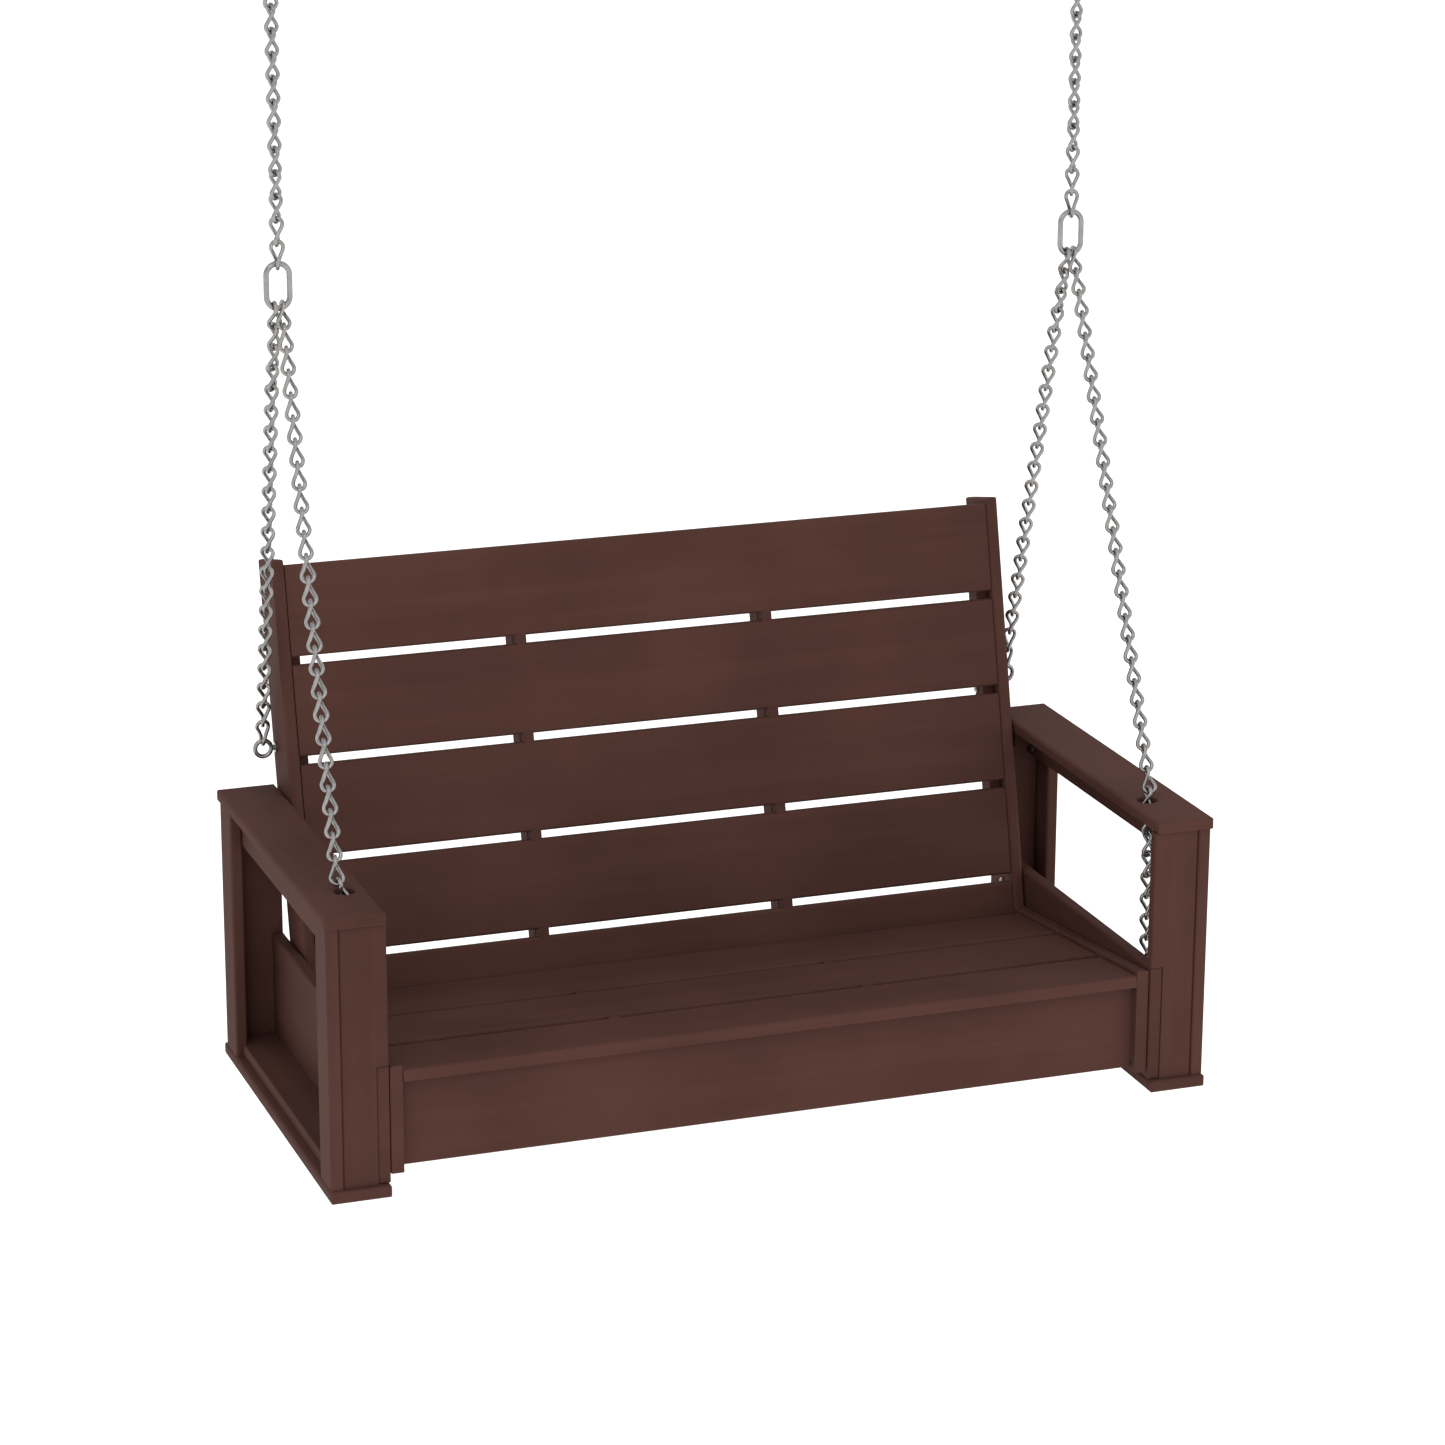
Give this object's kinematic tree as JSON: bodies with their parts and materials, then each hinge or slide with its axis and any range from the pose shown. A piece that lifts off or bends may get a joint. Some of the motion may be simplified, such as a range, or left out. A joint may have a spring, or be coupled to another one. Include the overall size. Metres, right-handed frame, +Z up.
{
  "type": "porch swing",
  "caption": "Two-seat slatted porch swing with box arms, hung from two ceiling hooks by chains that split at oval rings to the front and back of each arm.",
  "frame": {"origin": "midpoint between the two ceiling hooks, on the ceiling plane their flanges bear on", "axes": "+Z up, +X toward the sitter's left-hand arm as seen from the front (viewer's right), +Y toward the backrest; the seat's open front faces -Y"},
  "size_m": [1.382, 0.7123, 1.836],
  "materials": {
    "brown_lumber": "solid-coloured plastic lumber, satin, routed edges",
    "zinc_steel": "bright zinc plating",
    "black_steel": "dark coated screws and spacers"
  },
  "bodies": {
    "ceiling_hooks": {"left_ceiling_hook": "zinc_steel", "right_ceiling_hook": "zinc_steel"},
    "left_top": {"left_top_link": "zinc_steel"},
    "right_top": {"right_top_link": "zinc_steel"},
    "left_drop": {"left_drop_chain": "zinc_steel"},
    "right_drop": {"right_drop_chain": "zinc_steel"},
    "left_ring_body": {"left_ring": "zinc_steel"},
    "right_ring_body": {"right_ring": "zinc_steel"},
    "seat": {"left_armrest": "brown_lumber", "right_armrest": "brown_lumber", "left_under_arm_rail": "brown_lumber", "right_under_arm_rail": "brown_lumber", "left_front_post_board": "brown_lumber", "right_front_post_board": "brown_lumber", "left_front_post_strip": "brown_lumber", "right_front_post_strip": "brown_lumber", "left_rear_post_board": "brown_lumber", "right_rear_post_board": "brown_lumber", "left_rear_post_strip": "brown_lumber", "right_rear_post_strip": "brown_lumber", "left_base_plate": "brown_lumber", "right_base_plate": "brown_lumber", "left_foot_board": "brown_lumber", "right_foot_board": "brown_lumber", "left_side_panel": "brown_lumber", "right_side_panel": "brown_lumber", "left_arm_cleat": "brown_lumber", "right_arm_cleat": "brown_lumber", "left_seat_end_rail": "brown_lumber", "right_seat_end_rail": "brown_lumber", "left_seat_end_cleat": "brown_lumber", "right_seat_end_cleat": "brown_lumber", "left_back_stile": "brown_lumber", "right_back_stile": "brown_lumber", "left_back_end_cleat": "brown_lumber", "right_back_end_cleat": "brown_lumber", "back_panel": "brown_lumber", "left_back_batten": "brown_lumber", "right_back_batten": "brown_lumber", "seat_panel": "brown_lumber", "left_seat_bearer": "brown_lumber", "right_seat_bearer": "brown_lumber", "seat_apron": "brown_lumber", "seat_rear_rail": "brown_lumber", "left_rear_eye_bolt": "zinc_steel", "right_rear_eye_bolt": "zinc_steel", "left_front_eye_bolt": "zinc_steel", "right_front_eye_bolt": "zinc_steel", "eye_bolt_nuts": "zinc_steel", "pan_head_screws": "zinc_steel", "flat_head_screws": "black_steel", "panel_screws": "black_steel", "arm_screws": "black_steel", "post_screws": "black_steel", "side_spacers": "black_steel", "left_front_chain": "zinc_steel", "right_front_chain": "zinc_steel", "left_rear_chain": "zinc_steel", "right_rear_chain": "zinc_steel"}
  },
  "joints": [
    {"name": "swing_left", "type": "hinge", "parent": "ceiling_hooks", "child": "left_top", "pos_m": [-0.6237, 0, -0.08498], "axis": [1, 0, 0], "range_deg": [-30, 30]},
    {"name": "sway_left", "type": "hinge", "parent": "left_top", "child": "left_drop", "pos_m": [-0.6237, 0, -0.11155], "axis": [0, 1, 0], "range_deg": [-8, 8]},
    {"name": "ring_level_left", "type": "hinge", "parent": "left_drop", "child": "left_ring_body", "pos_m": [-0.6237, 0, -0.4904], "axis": [0, 1, 0], "range_deg": [-8, 8]},
    {"name": "seat_pitch", "type": "hinge", "parent": "left_ring_body", "child": "seat", "pos_m": [-0.6237, 0, -0.54708], "axis": [1, 0, 0], "range_deg": [-10, 10]},
    {"name": "swing_right", "type": "hinge", "parent": "ceiling_hooks", "child": "right_top", "pos_m": [0.6237, 0, -0.08498], "axis": [1, 0, 0], "range_deg": [-30, 30]},
    {"name": "sway_right", "type": "hinge", "parent": "right_top", "child": "right_drop", "pos_m": [0.6237, 0, -0.11155], "axis": [0, 1, 0], "range_deg": [-8, 8]},
    {"name": "ring_level_right", "type": "hinge", "parent": "right_drop", "child": "right_ring_body", "pos_m": [0.6237, 0, -0.4904], "axis": [0, 1, 0], "range_deg": [-8, 8]}
  ],
  "couplings": [
    {"joint": "swing_right", "follows": "swing_left", "ratio": 1},
    {"joint": "sway_right", "follows": "sway_left", "ratio": 1},
    {"joint": "ring_level_left", "follows": "sway_left", "ratio": -1},
    {"joint": "ring_level_right", "follows": "sway_left", "ratio": -1}
  ]
}
